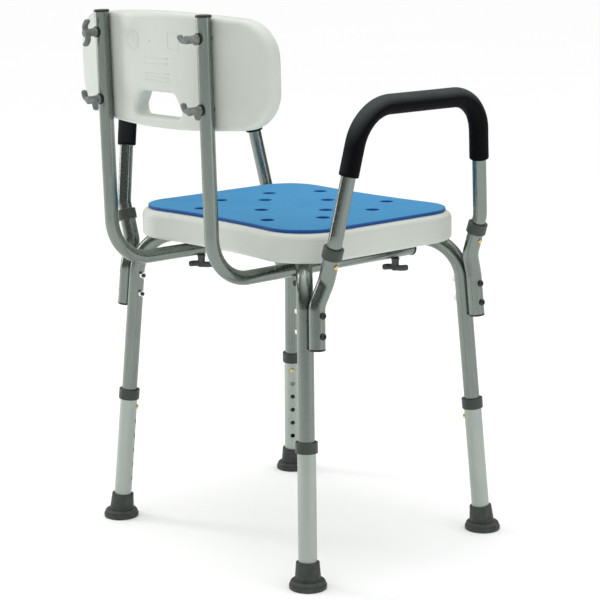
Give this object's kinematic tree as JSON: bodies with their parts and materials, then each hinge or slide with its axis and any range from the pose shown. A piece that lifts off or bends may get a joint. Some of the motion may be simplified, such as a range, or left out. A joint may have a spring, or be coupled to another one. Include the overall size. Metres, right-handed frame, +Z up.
{
  "type": "shower chair",
  "caption": "Height-adjustable shower chair: crossed aluminium leg tubes with telescoping legs, hollow plastic seat with foam pad, curved backrest and lift-off armrests.",
  "frame": {"origin": "on the floor, under the middle of the chair's bounding box", "axes": "+Z up, +X to the sitter's left, -Y to the front"},
  "size_m": [0.5878, 0.5536, 0.8645],
  "materials": {
    "aluminium": "satin anodised",
    "seat_plastic": "fine moulded texture",
    "pad_foam": "matt closed-cell foam",
    "grip_foam": "matt foam",
    "foot_rubber": "matt",
    "grey_plastic": "satin",
    "knob_plastic": "satin",
    "dark_knob_plastic": "satin",
    "black_plastic": "satin",
    "brass": "polished",
    "steel": "plain",
    "black_bolt": "black oxide",
    "nut_steel": "bright zinc"
  },
  "bodies": {
    "frame": {"leg_frame_upper_tube": "aluminium", "leg_frame_lower_tube": "aluminium", "cross_bolt": "steel", "cross_nut": "steel", "leg_button_springs": "steel", "seat_shell": "seat_plastic", "seat_inserts": "brass", "seat_pad": "pad_foam", "back_tube_left": "aluminium", "back_tube_right": "aluminium", "back_tube_caps": "black_plastic", "backrest_panel": "seat_plastic", "backrest_inserts": "brass", "back_knob_washers": "black_plastic", "receiver_caps": "black_plastic", "receiver_collars": "grey_plastic", "receiver_bolts": "black_bolt", "receiver_nuts": "nut_steel", "arm_receiver_front_left": "aluminium", "arm_receiver_front_right": "aluminium", "arm_receiver_rear_left": "aluminium", "arm_receiver_rear_right": "aluminium"},
    "leg_front_left": {"leg_extension_front_left": "aluminium", "leg_collar_front_left": "grey_plastic", "foot_front_left": "foot_rubber", "foot_washer_front_left": "steel"},
    "leg_button_front_left": {"leg_button_front_left": "brass"},
    "leg_front_right": {"leg_extension_front_right": "aluminium", "leg_collar_front_right": "grey_plastic", "foot_front_right": "foot_rubber", "foot_washer_front_right": "steel"},
    "leg_button_front_right": {"leg_button_front_right": "brass"},
    "leg_rear_left": {"leg_extension_rear_left": "aluminium", "leg_collar_rear_left": "grey_plastic", "foot_rear_left": "foot_rubber", "foot_washer_rear_left": "steel"},
    "leg_button_rear_left": {"leg_button_rear_left": "brass"},
    "leg_rear_right": {"leg_extension_rear_right": "aluminium", "leg_collar_rear_right": "grey_plastic", "foot_rear_right": "foot_rubber", "foot_washer_rear_right": "steel"},
    "leg_button_rear_right": {"leg_button_rear_right": "brass"},
    "armrest_left": {"armrest_tube_left": "aluminium", "armrest_grip_left": "grip_foam", "arm_button_springs_left": "steel"},
    "arm_button_front_left": {"arm_button_front_left": "brass"},
    "arm_button_rear_left": {"arm_button_rear_left": "brass"},
    "armrest_right": {"armrest_tube_right": "aluminium", "armrest_grip_right": "grip_foam", "arm_button_springs_right": "steel"},
    "arm_button_front_right": {"arm_button_front_right": "brass"},
    "arm_button_rear_right": {"arm_button_rear_right": "brass"},
    "seat_knob_front_left": {"seat_knob_front_left": "dark_knob_plastic"},
    "seat_knob_front_right": {"seat_knob_front_right": "dark_knob_plastic"},
    "seat_knob_rear_left": {"seat_knob_rear_left": "dark_knob_plastic"},
    "seat_knob_rear_right": {"seat_knob_rear_right": "dark_knob_plastic"},
    "back_knob_upper_left": {"back_knob_upper_left": "knob_plastic"},
    "back_knob_upper_right": {"back_knob_upper_right": "knob_plastic"},
    "back_knob_lower_left": {"back_knob_lower_left": "knob_plastic"},
    "back_knob_lower_right": {"back_knob_lower_right": "knob_plastic"}
  },
  "joints": [
    {"name": "leg_height_front_left", "type": "slide", "parent": "frame", "child": "leg_front_left", "axis": [-0.0682, 0.0574, 0.996], "range_m": [0, 0.127], "deforming": ["leg_button_front_left"]},
    {"name": "leg_button_press_front_left", "type": "slide", "parent": "frame", "child": "leg_button_front_left", "axis": [0.7617, -0.6418, 0.0891], "range_m": [0, 0.0045], "stiffness_N_per_m": 1500, "springref_m": -0.003, "deforming": ["leg_button_springs"]},
    {"name": "leg_height_front_right", "type": "slide", "parent": "frame", "child": "leg_front_right", "axis": [0.0682, 0.0574, 0.996], "range_m": [0, 0.127], "deforming": ["leg_button_front_right"]},
    {"name": "leg_button_press_front_right", "type": "slide", "parent": "frame", "child": "leg_button_front_right", "axis": [-0.7617, -0.6418, 0.0891], "range_m": [0, 0.0045], "stiffness_N_per_m": 1500, "springref_m": -0.003},
    {"name": "leg_height_rear_left", "type": "slide", "parent": "frame", "child": "leg_rear_left", "axis": [-0.0682, -0.0574, 0.996], "range_m": [0, 0.127], "deforming": ["leg_button_rear_left"]},
    {"name": "leg_button_press_rear_left", "type": "slide", "parent": "frame", "child": "leg_button_rear_left", "axis": [0.7617, 0.6418, 0.0891], "range_m": [0, 0.0045], "stiffness_N_per_m": 1500, "springref_m": -0.003},
    {"name": "leg_height_rear_right", "type": "slide", "parent": "frame", "child": "leg_rear_right", "axis": [0.0682, -0.0574, 0.996], "range_m": [0, 0.127], "deforming": ["leg_button_rear_right"]},
    {"name": "leg_button_press_rear_right", "type": "slide", "parent": "frame", "child": "leg_button_rear_right", "axis": [-0.7617, 0.6418, 0.0891], "range_m": [0, 0.0045], "stiffness_N_per_m": 1500, "springref_m": -0.003},
    {"name": "armrest_lift_left", "type": "slide", "parent": "frame", "child": "armrest_left", "axis": [0.2961, 0, 0.9552], "range_m": [0, 0.06], "deforming": ["arm_button_front_left", "arm_button_rear_left"]},
    {"name": "arm_button_press_front_left", "type": "slide", "parent": "armrest_left", "child": "arm_button_front_left", "axis": [-0.9552, 0, 0.2961], "range_m": [0, 0.0045], "stiffness_N_per_m": 1500, "springref_m": -0.003, "deforming": ["arm_button_springs_left"]},
    {"name": "arm_button_press_rear_left", "type": "slide", "parent": "armrest_left", "child": "arm_button_rear_left", "axis": [-0.9552, 0, 0.2961], "range_m": [0, 0.0045], "stiffness_N_per_m": 1500, "springref_m": -0.003},
    {"name": "armrest_lift_right", "type": "slide", "parent": "frame", "child": "armrest_right", "axis": [-0.2961, 0, 0.9552], "range_m": [0, 0.06], "deforming": ["arm_button_front_right", "arm_button_rear_right"]},
    {"name": "arm_button_press_front_right", "type": "slide", "parent": "armrest_right", "child": "arm_button_front_right", "axis": [0.9552, 0, 0.2961], "range_m": [0, 0.0045], "stiffness_N_per_m": 1500, "springref_m": -0.003, "deforming": ["arm_button_springs_right"]},
    {"name": "arm_button_press_rear_right", "type": "slide", "parent": "armrest_right", "child": "arm_button_rear_right", "axis": [0.9552, 0, 0.2961], "range_m": [0, 0.0045], "stiffness_N_per_m": 1500, "springref_m": -0.003},
    {"name": "seat_knob_turn_front_left", "type": "hinge", "parent": "frame", "child": "seat_knob_front_left", "pos_m": [0.1225, -0.15297, 0.4566], "axis": [0, 0, -1], "continuous": true},
    {"name": "seat_knob_turn_front_right", "type": "hinge", "parent": "frame", "child": "seat_knob_front_right", "pos_m": [-0.1225, -0.15297, 0.4566], "axis": [0, 0, -1], "continuous": true},
    {"name": "seat_knob_turn_rear_left", "type": "hinge", "parent": "frame", "child": "seat_knob_rear_left", "pos_m": [0.1225, 0.05346, 0.4566], "axis": [0, 0, -1], "continuous": true},
    {"name": "seat_knob_turn_rear_right", "type": "hinge", "parent": "frame", "child": "seat_knob_rear_right", "pos_m": [-0.1225, 0.05346, 0.4566], "axis": [0, 0, -1], "continuous": true},
    {"name": "back_knob_turn_upper_left", "type": "hinge", "parent": "frame", "child": "back_knob_upper_left", "pos_m": [0.1225, 0.25251, 0.82908], "axis": [0, 0.9997, -0.0262], "continuous": true},
    {"name": "back_knob_turn_upper_right", "type": "hinge", "parent": "frame", "child": "back_knob_upper_right", "pos_m": [-0.1225, 0.25251, 0.82908], "axis": [0, 0.9997, -0.0262], "continuous": true},
    {"name": "back_knob_turn_lower_left", "type": "hinge", "parent": "frame", "child": "back_knob_lower_left", "pos_m": [0.1225, 0.24982, 0.72642], "axis": [0, 0.9997, -0.0262], "continuous": true},
    {"name": "back_knob_turn_lower_right", "type": "hinge", "parent": "frame", "child": "back_knob_lower_right", "pos_m": [-0.1225, 0.24982, 0.72642], "axis": [0, 0.9997, -0.0262], "continuous": true}
  ]
}
